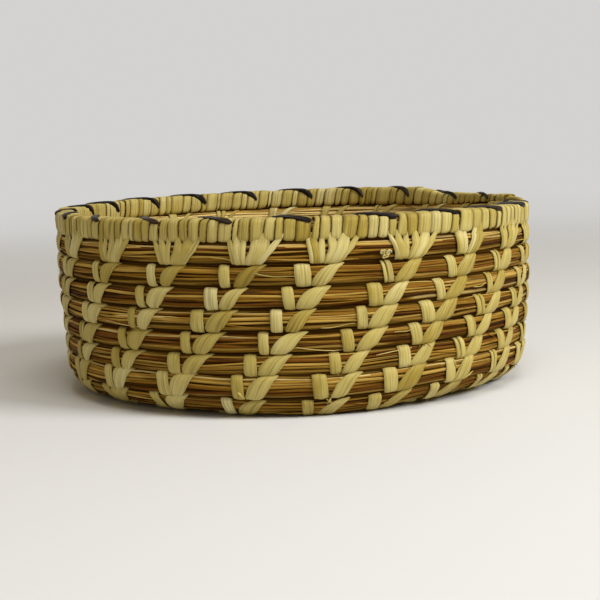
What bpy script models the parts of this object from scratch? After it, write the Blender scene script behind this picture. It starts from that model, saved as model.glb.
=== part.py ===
# A coiled basket. One long bundle of grass winds out from the middle of the base, turns up at the
# heel and climbs the wall to the rim. Flat splints sew each lap to the one below with V stitches,
# the rim lap is wrapped closely, and a dark strand is laced over the rim.
#
# Places on the coil are given as laps below its loose end, and as a corner of its six-sided
# section. Corners 90 and 270 face the neighbouring laps, 0 faces out and 180 faces in.

import math

import bmesh
import bpy
import numpy as np

# Driving dimensions, in metres. Radii and heights are to the middle of the coil.
RIM_RADIUS = 0.0968
RIM_HEIGHT = 0.0733
HEEL_RADIUS = 0.012
FOOT_WIDTH = 0.0125
CENTRE_RADIUS = 0.0042
COIL_DIAMETER = 0.00712
RIM_COIL_DIAMETER = 0.006
STITCH_SPACING = 0.0274
SPLINT_WIDTH = 0.0048
SPLINT_THICKNESS = 0.0005
RIM_WRAP_THICKNESS = 0.0005
RIM_WRAP_CROWN = 0.0003
LACING_WIDTH = 0.0026
LACING_THICKNESS = 0.0006
SEAT_GAP = 0.0003

# Angles and counts.
WALL_LEAN = math.radians(2.3)
BASE_DISH = math.radians(2.0)
COIL_END_ANGLE = math.radians(105.5)
SECTION_SIDES = 6
WRAPS_PER_STITCH = 2
WALL_SPLINTS = 8

# Shares: of a lap, of a stitch's space or of the coil's diameter.
LEVEL_SHARE = 0.6
TAIL_SHARE = 0.15
COLUMN_SHIFT_SHARE = 0.19
STITCH_PLACE_SHARE = 0.25
FOOT_CUT_SHARE = 0.1
FLAT_SHARE = math.cos(math.pi / SECTION_SIDES)

# A V stitch: corner of the coil that the splint bends over, its place as a share of the stitch's
# space and of the splint's width, and its breadth as a share of the splint's width.
STITCH_SHARES = (
    (-90, 0.0, -0.26, 0.34),
    (-30, 0.0, -0.50, 0.85),
    (30, 0.0, -0.63, 1.00),
    (90, 0.0, -0.63, 0.95),
    (150, 0.0, -0.58, 0.90),
    (210, 0.0, -0.30, 0.50),
    (270, 0.0, 0.26, 0.34),
    (330, 0.0, 0.80, 0.70),
    (390, 0.0, 1.54, 1.10),
    (450, 0.0, 2.30, 0.60),
    (510, 0.3, 1.53, 0.70),
    (570, 0.68, 0.56, 0.50),
)

# One visible pass of the lacing: corner, place as a share of a stitch's space, breadth share.
LACING_SHARES = (
    (210, -0.66, 0.6),
    (150, -0.46, 1.0),
    (90, -0.24, 1.0),
    (30, -0.08, 0.8),
)

# Sizes that follow from those above.
COIL_HALF = COIL_DIAMETER / 2
RIM_COIL_HALF = RIM_COIL_DIAMETER / 2
SEAT = SEAT_GAP / FLAT_SHARE
SPLINT_LAYER = (SEAT_GAP + SPLINT_THICKNESS) / FLAT_SHARE
WRAP_VALLEY = (SEAT_GAP + RIM_WRAP_THICKNESS) / FLAT_SHARE
WRAP_LAYER = WRAP_VALLEY + RIM_WRAP_CROWN / FLAT_SHARE
LAP_PITCH = COIL_DIAMETER + SPLINT_LAYER + SEAT_GAP
RIM_PITCH = COIL_HALF + SPLINT_LAYER + SEAT_GAP + WRAP_LAYER + RIM_COIL_HALF
FOOT_HEIGHT = COIL_HALF * FLAT_SHARE - COIL_DIAMETER * FOOT_CUT_SHARE
HEEL_HEIGHT = FOOT_HEIGHT + HEEL_RADIUS
WALL_RISE = RIM_HEIGHT - HEEL_HEIGHT + HEEL_RADIUS * math.sin(WALL_LEAN)
WALL_LENGTH = WALL_RISE / math.cos(WALL_LEAN)
HEEL_LENGTH = HEEL_RADIUS * (math.pi / 2 - WALL_LEAN)
FOOT_RADIUS = RIM_RADIUS - WALL_LENGTH * math.sin(WALL_LEAN) - HEEL_RADIUS * math.cos(WALL_LEAN)
DISH_LENGTH = (FOOT_RADIUS - FOOT_WIDTH - CENTRE_RADIUS) / math.cos(BASE_DISH)
FOOT_END = WALL_LENGTH + HEEL_LENGTH + FOOT_WIDTH
COIL_LAPS = (FOOT_END + DISH_LENGTH + LAP_PITCH - RIM_PITCH) / LAP_PITCH + 0.5
WALL_LAPS = (FOOT_END + LAP_PITCH - RIM_PITCH) / LAP_PITCH + 0.5
STITCHES_PER_LAP = round(2 * math.pi * RIM_RADIUS / STITCH_SPACING)
STITCH_LAPS = 1 / (STITCHES_PER_LAP + COLUMN_SHIFT_SHARE)
GAP_LAPS = SEAT_GAP / (2 * math.pi * RIM_RADIUS)

# Colours from the photograph, linear.
GRASS = (0.40, 0.24, 0.09, 1.0)
SPLINT = (0.66, 0.54, 0.27, 1.0)
DARK_STRAND = (0.018, 0.013, 0.010, 1.0)


def clear_scene():
    for item in list(bpy.data.objects):
        bpy.data.objects.remove(item, do_unlink=True)


def new_collection(name):
    collection = bpy.data.collections.new(name)
    bpy.context.scene.collection.children.link(collection)
    return collection


def new_material(name, colour, roughness):
    material = bpy.data.materials.new(name)
    material.use_nodes = True
    shader = material.node_tree.nodes["Principled BSDF"]
    shader.inputs["Base Color"].default_value = colour
    shader.inputs["Roughness"].default_value = roughness
    shader.inputs["Metallic"].default_value = 0.0
    material.diffuse_color = colour
    return material


def profile(depth):
    """Radius, height and facing angle of the wall, heel and base at a length down from the rim."""
    wall = np.minimum(depth, WALL_LENGTH)
    heel = np.clip(depth - WALL_LENGTH, 0, HEEL_LENGTH)
    foot = np.clip(depth - WALL_LENGTH - HEEL_LENGTH, 0, FOOT_WIDTH)
    dish = np.maximum(depth - FOOT_END, 0)
    turn = -(WALL_LEAN + heel / HEEL_RADIUS)
    radius = FOOT_RADIUS + HEEL_RADIUS * np.cos(turn) - foot - dish * math.cos(BASE_DISH)
    radius = radius + (WALL_LENGTH - wall) * math.sin(WALL_LEAN)
    height = HEEL_HEIGHT + HEEL_RADIUS * np.sin(turn) + dish * math.sin(BASE_DISH)
    height = height + (WALL_LENGTH - wall) * math.cos(WALL_LEAN)
    facing = turn - np.where(dish > 0, BASE_DISH, 0)
    return radius, height, facing


def rim_ease(laps):
    """Rises from 0 on the rim lap to 1 where the lap below it has reached its full size."""
    return np.clip((laps - 1) / TAIL_SHARE, 0, 1)


def lap_depth(laps):
    """Length down the profile. Laps lie nearly level and climb one pitch near the coil's end."""
    laps = np.maximum(laps, TAIL_SHARE)
    level = LEVEL_SHARE * np.clip((COIL_LAPS - laps) / (COIL_LAPS - WALL_LAPS), 0, 1)
    turn = 2 * math.pi * laps
    wave = np.arctan2(level * np.sin(turn), 1 - level * np.cos(turn)) / math.pi
    return LAP_PITCH * (laps + wave - 0.5) + (RIM_PITCH - LAP_PITCH) * rim_ease(laps)


def coil_half(laps):
    """Half the coil's thickness. Its loose end thins out to fit above the lap that climbs."""
    half = RIM_COIL_HALF + (COIL_HALF - RIM_COIL_HALF) * rim_ease(laps)
    below = RIM_COIL_HALF + (COIL_HALF - RIM_COIL_HALF) * rim_ease(laps + 1)
    room = lap_depth(laps + 1) - lap_depth(laps) - below - SPLINT_LAYER - SEAT_GAP
    return np.where(laps < TAIL_SHARE, np.minimum(half, room), half)


def section_point(laps, angle, reach):
    """A point at a reach from the coil's middle and an angle from the way its side faces out."""
    radius, height, facing = profile(lap_depth(laps))
    out = reach * np.cos(angle)
    up = reach * np.sin(angle)
    radius = radius + out * np.cos(facing) - up * np.sin(facing)
    height = height + out * np.sin(facing) + up * np.cos(facing)
    azimuth = COIL_END_ANGLE + 2 * math.pi * laps - math.pi / 2
    return np.stack([radius * np.cos(azimuth), radius * np.sin(azimuth), height], -1)


def place(laps, angle=0.0, lift=None):
    """A point on the straight chords of the coil, lifted off its corners, or its middle."""
    laps = np.atleast_1d(np.asarray(laps, float))
    first = np.floor(laps / STITCH_LAPS + 1e-9) * STITCH_LAPS
    share = ((laps - first) / STITCH_LAPS)[:, None]
    ends = []
    for end in (first, first + STITCH_LAPS):
        reach = np.zeros_like(end) if lift is None else coil_half(end) + lift
        ends.append(section_point(end, angle, reach))
    return ends[0] * (1 - share) + ends[1] * share


def coil_stops(start, end):
    """Laps of a tube's points: its two ends and every chord's end between them."""
    inner = np.arange(math.ceil(start / STITCH_LAPS), math.floor(end / STITCH_LAPS) + 1) * STITCH_LAPS
    inner = inner[(inner > start + GAP_LAPS) & (inner < end - GAP_LAPS)]
    return np.concatenate([[start], inner, [end]])


def tube_mesh(name, stops, halves):
    """A six-sided tube along the coil, made as a bevelled curve and then turned into a mesh."""
    curve = bpy.data.curves.new(name, "CURVE")
    curve.dimensions = "3D"
    curve.twist_mode = "Z_UP"
    curve.bevel_depth = COIL_HALF
    curve.bevel_resolution = 1
    curve.use_fill_caps = True
    spline = curve.splines.new("POLY")
    spline.points.add(len(stops) - 1)
    facing = profile(lap_depth(stops))[2]
    for point, spot, half, face in zip(spline.points, place(stops), halves, facing):
        point.co = (*spot, 1)
        point.radius = half / COIL_HALF
        point.tilt = -(face + math.pi / 2)
    holder = bpy.data.objects.new(name, curve)
    bpy.context.scene.collection.objects.link(holder)
    depsgraph = bpy.context.evaluated_depsgraph_get()
    mesh = bpy.data.meshes.new_from_object(holder.evaluated_get(depsgraph))
    bpy.data.objects.remove(holder, do_unlink=True)
    bpy.data.curves.remove(curve)
    weld_mesh(mesh)
    return mesh


def weld_mesh(mesh):
    shape = bmesh.new()
    shape.from_mesh(mesh)
    bmesh.ops.remove_doubles(shape, verts=shape.verts, dist=SEAT_GAP / 100)
    bmesh.ops.recalc_face_normals(shape, faces=shape.faces)
    shape.to_mesh(mesh)
    shape.free()


def new_piece(name, mesh, material, collection):
    mesh.name = name
    mesh.materials.clear()
    mesh.materials.append(material)
    piece = bpy.data.objects.new(name, mesh)
    collection.objects.link(piece)
    return piece


def new_cutter(name, mesh, collection):
    cutter = bpy.data.objects.new(name, mesh)
    cutter.display_type = "WIRE"
    cutter.hide_render = True
    collection.objects.link(cutter)
    return cutter


def cut(piece, cutter):
    modifier = piece.modifiers.new("cut_" + cutter.name, "BOOLEAN")
    modifier.operation = "DIFFERENCE"
    modifier.solver = "EXACT"
    modifier.object = cutter


def floor_cutter(collection):
    """A block under the floor, which cuts the turns that the basket rests on flat."""
    mesh = bpy.data.meshes.new("floor_cutter")
    shape = bmesh.new()
    bmesh.ops.create_cube(shape, size=1)
    spread = 2 * (RIM_RADIUS + COIL_DIAMETER)
    bmesh.ops.scale(shape, vec=(spread, spread, COIL_DIAMETER), verts=shape.verts)
    bmesh.ops.translate(shape, vec=(0, 0, -COIL_HALF), verts=shape.verts)
    shape.to_mesh(mesh)
    shape.free()
    return new_cutter("floor_cutter", mesh, collection)


def strip_mesh(name, rows):
    """A splint: a three-sided strip through rows of left edge, right edge and crown points."""
    mesh = bpy.data.meshes.new(name)
    shape = bmesh.new()
    rings = [[shape.verts.new(point) for point in row] for row in rows]
    for ring, following in zip(rings, rings[1:]):
        for side in range(len(ring)):
            near = (side + 1) % len(ring)
            shape.faces.new((ring[side], ring[near], following[near], following[side]))
    shape.faces.new(rings[0])
    shape.faces.new(rings[-1])
    bmesh.ops.recalc_face_normals(shape, faces=shape.faces)
    shape.to_mesh(mesh)
    shape.free()
    return mesh


def strip_row(laps, corner, breadth, seat, crown):
    """The left edge, right edge and crown of a strip where it bends over one corner."""
    angle = math.radians(corner)
    half = breadth / 2 / (2 * math.pi * RIM_RADIUS)
    left = place(laps - half, angle, seat)[0]
    right = place(laps + half, angle, seat)[0]
    middle = place(laps, angle, crown)[0]
    return left, right, middle


def stitch_rows(laps):
    """One V stitch: up the left leg, over the coil and back, then up the slanted right leg."""
    rows = []
    width_laps = SPLINT_WIDTH / (2 * math.pi * RIM_RADIUS)
    for corner, space_share, width_share, breadth_share in STITCH_SHARES:
        spot = laps + space_share * STITCH_LAPS + width_share * width_laps
        rows.append(strip_row(spot, corner, SPLINT_WIDTH * breadth_share, SEAT, SPLINT_LAYER))
    return rows


def sewn_laps():
    """Laps of the stitches of each splint, down to where a stitch would meet the floor."""
    first = math.ceil(1 / STITCH_LAPS)
    last = math.ceil(WALL_LAPS / STITCH_LAPS)
    stops = (np.arange(first, last) + STITCH_PLACE_SHARE) * STITCH_LAPS
    clear = COIL_HALF + SPLINT_LAYER
    stops = stops[profile(lap_depth(stops + STITCH_LAPS))[1] > clear]
    return np.array_split(stops, WALL_SPLINTS)


def make_coils(material, collection, floor):
    """The bundle of grass, from the loose end at the rim to the middle of the base."""
    spans = {
        "rim_coil": (0.0, 1 - GAP_LAPS / 2),
        "wall_coil": (1 + GAP_LAPS / 2, WALL_LAPS - GAP_LAPS / 2),
        "base_coil": (WALL_LAPS + GAP_LAPS / 2, COIL_LAPS),
    }
    for name, (start, end) in spans.items():
        stops = coil_stops(start, end)
        mesh = tube_mesh(name, stops, coil_half(stops))
        piece = new_piece(name, mesh, material, collection)
        if name != "rim_coil":
            cut(piece, floor)


def make_sewing(material, collection):
    """The sewing of the wall, by splints of even length that follow one another down."""
    for number, stops in enumerate(sewn_laps(), 1):
        rows = [row for laps in stops for row in stitch_rows(laps)]
        name = f"wall_splint_{number}"
        new_piece(name, strip_mesh(name, rows), material, collection)


def make_rim_wrap(material, collection, cutters):
    """The close wrapping round the rim lap: one crown for each wrap, over a plain bore."""
    halfway = STITCH_LAPS / (2 * WRAPS_PER_STITCH)
    first = math.ceil(TAIL_SHARE / STITCH_LAPS) * 2 * WRAPS_PER_STITCH
    last = math.floor(1 / STITCH_LAPS) * 2 * WRAPS_PER_STITCH
    steps = np.arange(first, last + 1)
    lifts = np.where(steps % 2 == 0, WRAP_VALLEY, WRAP_LAYER)
    wrap = tube_mesh("rim_wrap", steps * halfway, RIM_COIL_HALF + lifts)
    piece = new_piece("rim_wrap", wrap, material, collection)
    stops = coil_stops(first * halfway - halfway, last * halfway + halfway)
    bore = tube_mesh("rim_wrap_bore", stops, np.full(len(stops), RIM_COIL_HALF + SEAT))
    cut(piece, new_cutter("rim_wrap_bore", bore, cutters))


def make_lacing(material, collection):
    """The visible passes of the dark strand, one for each stitch, over the rim wrap."""
    first = math.ceil(TAIL_SHARE / STITCH_LAPS) + 1
    last = math.floor(1 / STITCH_LAPS) + 1
    seat = WRAP_LAYER + SEAT
    crown = seat + LACING_THICKNESS / FLAT_SHARE
    for number in range(first, last):
        rows = []
        for corner, space_share, breadth_share in LACING_SHARES:
            laps = (number + space_share) * STITCH_LAPS
            rows.append(strip_row(laps, corner, LACING_WIDTH * breadth_share, seat, crown))
        name = f"lacing_pass_{number - first + 1}"
        new_piece(name, strip_mesh(name, rows), material, collection)


def least_gap():
    """Least gap of the coil to its own neighbouring laps, corner to corner, on its points."""
    stops = coil_stops(0.0, COIL_LAPS)
    middles = place(stops)
    halves = coil_half(stops)
    starts = middles[:-1]
    along = middles[1:] - starts
    thick = np.maximum(halves[:-1], halves[1:])
    least = COIL_DIAMETER
    for lap, middle, half in zip(stops, middles, halves):
        apart = (np.abs(stops[:-1] - lap) > 0.5) & (np.abs(stops[1:] - lap) > 0.5)
        share = np.sum((middle - starts) * along, 1) / np.sum(along * along, 1)
        nearest = starts + along * np.clip(share, 0, 1)[:, None]
        gaps = np.linalg.norm(middle - nearest, axis=1) - half - thick
        least = min(least, gaps[apart].min())
    return least


def build():
    clear_scene()
    basket = new_collection("coiled_basket")
    cutters = new_collection("cutters")
    grass = new_material("grass_bundle", GRASS, 0.7)
    splint = new_material("pale_splint", SPLINT, 0.55)
    strand = new_material("dark_strand", DARK_STRAND, 0.45)
    floor = floor_cutter(cutters)
    make_coils(grass, basket, floor)
    make_sewing(splint, basket)
    make_rim_wrap(splint, basket, cutters)
    make_lacing(strand, basket)
    print(f"laps {COIL_LAPS:.2f}, stitches a lap {STITCHES_PER_LAP}, pitch {LAP_PITCH * 1000:.2f} mm")
    print(f"least gap between the coil's laps {least_gap() * 1000:.2f} mm")


build()
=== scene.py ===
import math

import bpy
import numpy as np
from mathutils import Matrix, Vector


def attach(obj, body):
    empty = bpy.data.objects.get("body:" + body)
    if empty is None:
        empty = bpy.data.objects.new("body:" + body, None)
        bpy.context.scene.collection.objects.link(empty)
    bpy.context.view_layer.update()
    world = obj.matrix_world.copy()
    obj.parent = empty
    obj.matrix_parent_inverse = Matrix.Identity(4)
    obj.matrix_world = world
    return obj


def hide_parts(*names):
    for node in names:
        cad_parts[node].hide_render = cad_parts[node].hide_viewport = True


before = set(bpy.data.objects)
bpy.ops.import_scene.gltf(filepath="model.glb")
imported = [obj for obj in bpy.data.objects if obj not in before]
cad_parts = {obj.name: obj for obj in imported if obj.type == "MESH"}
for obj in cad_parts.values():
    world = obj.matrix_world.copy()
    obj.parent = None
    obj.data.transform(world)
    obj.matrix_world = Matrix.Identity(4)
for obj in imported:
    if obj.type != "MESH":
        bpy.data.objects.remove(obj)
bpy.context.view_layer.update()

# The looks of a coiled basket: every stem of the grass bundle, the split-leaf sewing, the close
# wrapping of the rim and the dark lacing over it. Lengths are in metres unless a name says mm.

mm = 0.001

# the spiral that the solids follow; laps are counted down from the loose end at the rim
spiral = {
    "rimRadius": 96.8 * mm,
    "rimHeight": 71.5 * mm,
    "heelRadius": 12.0 * mm,
    "footWidth": 12.5 * mm,
    "centreRadius": 4.2 * mm,
    "half": 3.56 * mm,
    "rimHalf": 2.91 * mm,
    "footHeight": 2.371 * mm,
    "lapPitch": 8.3438 * mm,
    "rimPitch": 8.47 * mm,
    "lean": math.radians(2.3),
    "dish": math.radians(2.0),
    "endAngle": math.radians(105.5),
    "level": 0.6,
    "tail": 0.15,
    # the loose end's last laps: its share of the rim's thickness, and how far its top is below the rim's
    "endLaps": (0.0, 0.02, 0.05, 0.075, 0.095), "endShare": (0.28, 0.35, 0.5, 0.64, 1.0),
    "endLow": (2.4 * mm, 2.4 * mm, 2.4 * mm, 2.4 * mm, 0.0),
    "belly": 0.9 * mm,
    # the heel is drawn up at two places: radians right of the front, lift, and depths where it starts and is full
    "warps": ((0.85, 1.4 * mm, 20 * mm, 57 * mm), (0.85, 1.5 * mm, 52 * mm, 70 * mm),
              (-0.75, 2.4 * mm, 52 * mm, 70 * mm)),
    "warpWidth": 0.45,
    "stitches": 22.19,      # to a lap, so each row's holes fall a little to the left of the row above
    "holePlace": 0.25,
    "tall": 1.16,           # a lap's height as a share of its thickness
}
heelHeight = spiral["footHeight"] + spiral["heelRadius"]
wallRise = spiral["rimHeight"] - heelHeight + spiral["heelRadius"] * math.sin(spiral["lean"])
wallLength = wallRise / math.cos(spiral["lean"])
heelLength = spiral["heelRadius"] * (math.pi / 2 - spiral["lean"])
footRadius = (spiral["rimRadius"] - wallLength * math.sin(spiral["lean"])
              - spiral["heelRadius"] * math.cos(spiral["lean"]))
footEnd = wallLength + heelLength + spiral["footWidth"]
dishLength = (footRadius - spiral["footWidth"] - spiral["centreRadius"]) / math.cos(spiral["dish"])
coilLaps = (footEnd + dishLength + spiral["lapPitch"] - spiral["rimPitch"]) / spiral["lapPitch"] + 0.5
wallLaps = (footEnd + spiral["lapPitch"] - spiral["rimPitch"]) / spiral["lapPitch"] + 0.5


# radius, height and facing angle at a depth: a leaning line, a quarter turn at the heel, a flat foot
# and a base that rises gently to its middle
def profileAt(depth):
    wall = np.minimum(depth, wallLength)
    heel = np.clip(depth - wallLength, 0, heelLength)
    foot = np.clip(depth - wallLength - heelLength, 0, spiral["footWidth"])
    dish = np.maximum(depth - footEnd, 0)
    turn = -(spiral["lean"] + heel / spiral["heelRadius"])
    radius = footRadius + spiral["heelRadius"] * np.cos(turn) - foot - dish * math.cos(spiral["dish"])
    radius = radius + (wallLength - wall) * math.sin(spiral["lean"])
    radius = radius + spiral["belly"] * np.sin(math.pi * np.clip(wall / wallLength, 0, 1)) ** 2
    height = heelHeight + spiral["heelRadius"] * np.sin(turn) + dish * math.sin(spiral["dish"])
    height = height + (wallLength - wall) * math.cos(spiral["lean"])
    facing = turn - np.where(dish > 0, spiral["dish"], 0)
    return radius, height, facing


# 0 on the rim lap, rising to 1 where the lap below has its full size
def rimEase(laps):
    return np.clip((laps - 1) / spiral["tail"], 0, 1)


def smoothStep(value, low, high):
    share = np.clip((value - low) / (high - low), 0, 1)
    return share * share * (3 - 2 * share)


# share of its full thickness that the coil has left towards its loose end
def endShare(laps):
    return np.interp(laps, spiral["endLaps"], spiral["endShare"])


# depth of a lap: one pitch a turn, nearly level most of the way and steep near the loose end
def lapDepth(laps):
    drop = np.interp(laps, spiral["endLaps"], spiral["endLow"])
    drop = drop - (1 - endShare(laps)) * spiral["rimHalf"] * spiral["tall"]
    laps = np.maximum(laps, spiral["tail"])
    level = spiral["level"] * np.clip((coilLaps - laps) / (coilLaps - wallLaps), 0, 1)
    turn = 2 * math.pi * laps
    wave = np.arctan2(level * np.sin(turn), 1 - level * np.cos(turn)) / math.pi
    rimExtra = (spiral["rimPitch"] - spiral["lapPitch"]) * rimEase(laps)
    return spiral["lapPitch"] * (laps + wave - 0.5) + rimExtra + drop


# half the bundle's thickness: the rim's is thinner, the loose end runs out under the wraps and
# the bundle starts thin and tightly curled in the middle of the base
def bundleHalf(laps):
    step = spiral["half"] - spiral["rimHalf"]
    half = spiral["rimHalf"] + step * rimEase(laps)
    start = np.clip((laps - coilLaps + 0.35) / 0.75, 0, 1)
    return half * (1 - 0.55 * start) * endShare(laps)


# 1 where the laps go round the heel, 0 on the straight wall and on the base
def heelBend(depth):
    pitch = spiral["lapPitch"]
    into = np.clip((depth - wallLength) / pitch + 0.5, 0, 1)
    return into * np.clip((wallLength + heelLength - depth) / pitch + 0.5, 0, 1)


# a point beside the coil's middle: out is the way the lap faces, up is towards the lap above. Round
# the heel a lap is wider outside than inside. What would go under the table is pressed flat on it.
def coilPoint(laps, out, up):
    depth = lapDepth(laps)
    radius, height, facing = profileAt(depth)
    up = up * (1 + heelBend(depth) * out / spiral["heelRadius"])
    radius = radius + out * np.cos(facing) - up * np.sin(facing)
    height = height + out * np.sin(facing) + up * np.cos(facing)
    azimuth = spiral["endAngle"] + 2 * math.pi * laps - math.pi / 2
    inner = 1 - smoothStep(depth, footEnd, footEnd + 0.5 * dishLength)
    for place, lift, start, full in spiral["warps"]:
        near = np.exp((np.cos(azimuth + math.pi / 2 - place) - 1) / spiral["warpWidth"] ** 2)
        height = height + lift * smoothStep(near, 0.15, 1) * smoothStep(depth, start, full) * inner
    soft = 1.0 * mm
    height = np.where(height < soft, soft * np.exp(np.minimum(height / soft - 1, 0)), height)
    return np.stack(np.broadcast_arrays(radius * np.cos(azimuth), radius * np.sin(azimuth), height), -1)


# laps at even steps along the coil, closer together where it curls tightly
def coilStops(start, end, spacing):
    fine = np.linspace(start, end, 20000)
    radius = profileAt(lapDepth(fine))[0]
    steps = 2 * math.pi * radius / np.minimum(spacing, np.maximum(radius, 2 * mm) * 0.3)
    count = np.concatenate([[0], np.cumsum((steps[1:] + steps[:-1]) / 2 * np.diff(fine))])
    return np.interp(np.linspace(0, count[-1], int(count[-1]) + 2), count, fine)


# length of coil from the loose end down to each place, from a fine running sum
def coilLength(laps):
    fine = np.linspace(0, coilLaps + 1, 40000)
    radius = np.maximum(profileAt(lapDepth(fine))[0], 0.5 * mm)
    length = np.concatenate([[0], np.cumsum(math.pi * (radius[1:] + radius[:-1]) * np.diff(fine))])
    return np.interp(laps, fine, length)


def linearColour(hexColour):     # sRGB hex to linear RGBA
    value = np.array([int(hexColour[i:i + 2], 16) for i in (1, 3, 5)]) / 255
    linear = np.where(value <= 0.04045, value / 12.92, ((value + 0.055) / 1.055) ** 2.4)
    return (*linear.tolist(), 1.0)


# one node with its settings and its links or values
def addNode(tree, kind, inputs=None, **settings):
    node = tree.nodes.new(kind)
    for key, value in settings.items():
        setattr(node, key, value)
    for key, value in (inputs or {}).items():
        if isinstance(value, bpy.types.NodeSocket):
            tree.links.new(value, node.inputs[key])
        else:
            node.inputs[key].default_value = value
    return node


def fillRamp(node, stops):
    ramp = node.color_ramp
    while len(ramp.elements) < len(stops):
        ramp.elements.new(1.0)
    for element, (place, hexColour) in zip(ramp.elements, stops):
        element.position = place
        element.color = linearColour(hexColour)


# A plant fibre: the piece's tone picks a colour from the ramp, long fine streaks along the strip
# shift it and raise a slight grain, and "shade" is painted shade: it darkens what lies deep between
# the laps towards the "deep" colour and takes the gloss off there.
def fibreMaterial(name, look):
    material = bpy.data.materials.new(name)
    material.use_nodes = True
    tree = material.node_tree
    shader = tree.nodes["Principled BSDF"]
    tone = addNode(tree, "ShaderNodeAttribute", attribute_name="tone")
    shade = addNode(tree, "ShaderNodeAttribute", attribute_name="shade")
    strip = addNode(tree, "ShaderNodeUVMap", uv_map="strip")
    place = addNode(tree, "ShaderNodeTexCoord")
    across, along = look["streakMm"]
    scale = (1 / (across * mm), 1 / (along * mm), 1.0)
    grain = addNode(tree, "ShaderNodeMapping", {"Vector": strip.outputs["UV"], "Scale": scale})
    streak = addNode(tree, "ShaderNodeTexNoise",
                     {"Vector": grain.outputs["Vector"], "Scale": 1.0, "Detail": 3.0, "Roughness": 0.6})
    stain = addNode(tree, "ShaderNodeTexNoise",
                    {"Vector": place.outputs["Object"], "Scale": 1 / (look["stainMm"] * mm), "Detail": 2.0})
    streaked = addNode(tree, "ShaderNodeMath", {0: streak.outputs["Fac"], 1: look["streak"]}, operation="MULTIPLY")
    stained = addNode(tree, "ShaderNodeMath", {0: stain.outputs["Fac"], 1: look["stain"]}, operation="MULTIPLY")
    both = addNode(tree, "ShaderNodeMath", {0: streaked.outputs[0], 1: stained.outputs[0]}, operation="ADD")
    middle = addNode(tree, "ShaderNodeMath",
                     {0: both.outputs[0], 1: (look["streak"] + look["stain"]) / 2}, operation="SUBTRACT")
    pick = addNode(tree, "ShaderNodeMath", {0: tone.outputs["Fac"], 1: middle.outputs[0]}, operation="ADD")
    ramp = addNode(tree, "ShaderNodeValToRGB", {"Fac": pick.outputs[0]})
    fillRamp(ramp, look["colours"])
    across, along = look["lineMm"]
    scale = (1 / (across * mm), 1 / (along * mm), 1.0)
    drawn = addNode(tree, "ShaderNodeMapping",
                    {"Vector": strip.outputs["UV"], "Scale": scale, "Location": (7.3, 2.1, 0.0)})
    lines = addNode(tree, "ShaderNodeTexNoise", {"Vector": drawn.outputs["Vector"], "Scale": 1.0, "Detail": 1.0})
    line = addNode(tree, "ShaderNodeMapRange", {
        "Value": lines.outputs["Fac"], "From Min": 0.55, "From Max": 0.66, "To Max": look["lines"],
    })
    # painted shade: the larger of the shade attribute and the fibre's own thin dark lines mixes the colour towards the
    # deep colour
    deepest = addNode(tree, "ShaderNodeMath", {0: shade.outputs["Fac"], 1: line.outputs["Result"]}, operation="MAXIMUM")
    dark = addNode(tree, "ShaderNodeMix", {
        "Factor": deepest.outputs[0], 6: ramp.outputs["Color"], 7: linearColour(look["deep"]),
    }, data_type="RGBA", blend_type="MULTIPLY")
    tree.links.new(dark.outputs[2], shader.inputs["Base Color"])
    bump = addNode(tree, "ShaderNodeBump", {
        "Height": streak.outputs["Fac"], "Strength": look["grain"], "Distance": look["grainMm"] * mm,
    })
    tree.links.new(bump.outputs["Normal"], shader.inputs["Normal"])
    shader.inputs["Roughness"].default_value = look["roughness"]
    # painted shade also dulls: the gloss falls to nothing where the shade is full
    gloss = addNode(tree, "ShaderNodeMapRange",
                    {"Value": shade.outputs["Fac"], "To Min": look["specular"], "To Max": 0.0})
    tree.links.new(gloss.outputs["Result"], shader.inputs["Specular IOR Level"])
    shader.inputs["IOR"].default_value = 1.45
    return material


# dry grass stems, harvested and sun-dried: dull straw to red-brown, darker down between the laps by painted shade in
# the "deep" colour
dryGrass = fibreMaterial("dryGrassStems", {
    "colours": [(0.0, "#482803"), (0.16, "#7c4d11"), (0.34, "#886118"), (0.6, "#aa8332"), (0.82, "#c6a24e"),
                (1.0, "#dcc17c")],
    "deep": "#2e1802", "streakMm": (0.28, 16.0), "stainMm": 26.0, "streak": 0.6, "stain": 0.25,
    "lineMm": (0.5, 30.0), "lines": 0.8,
    "grain": 0.7, "grainMm": 0.14, "roughness": 0.7, "specular": 0.12,
})
# split yucca leaf, scraped and dried: pale straw with fine lengthwise fibres and a faint green cast; its painted shade
# goes towards the "deep" colour
splitLeaf = fibreMaterial("splitYuccaLeaf", {
    "colours": [(0.0, "#80651a"), (0.3, "#a58f39"), (0.6, "#c5b56c"), (1.0, "#e6deb0")],
    "deep": "#684a14", "streakMm": (0.32, 9.0), "stainMm": 14.0, "streak": 0.7, "stain": 0.4,
    "lineMm": (0.62, 24.0), "lines": 0.4,
    "grain": 0.6, "grainMm": 0.14, "roughness": 0.55, "specular": 0.3,
})
# a dark plant strand, nearly black, with a low gloss on its long ridges; its painted shade goes towards the "deep"
# colour
darkLeaf = fibreMaterial("darkDyedLeaf", {
    "colours": [(0.0, "#0f0a05"), (0.5, "#1e150c"), (1.0, "#45321f")],
    "deep": "#0a0705", "streakMm": (0.3, 10.0), "stainMm": 12.0, "streak": 0.7, "stain": 0.3,
    "lineMm": (0.6, 14.0), "lines": 0.7,
    "grain": 0.9, "grainMm": 0.16, "roughness": 0.45, "specular": 0.2,
})
print("materials made")


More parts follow.
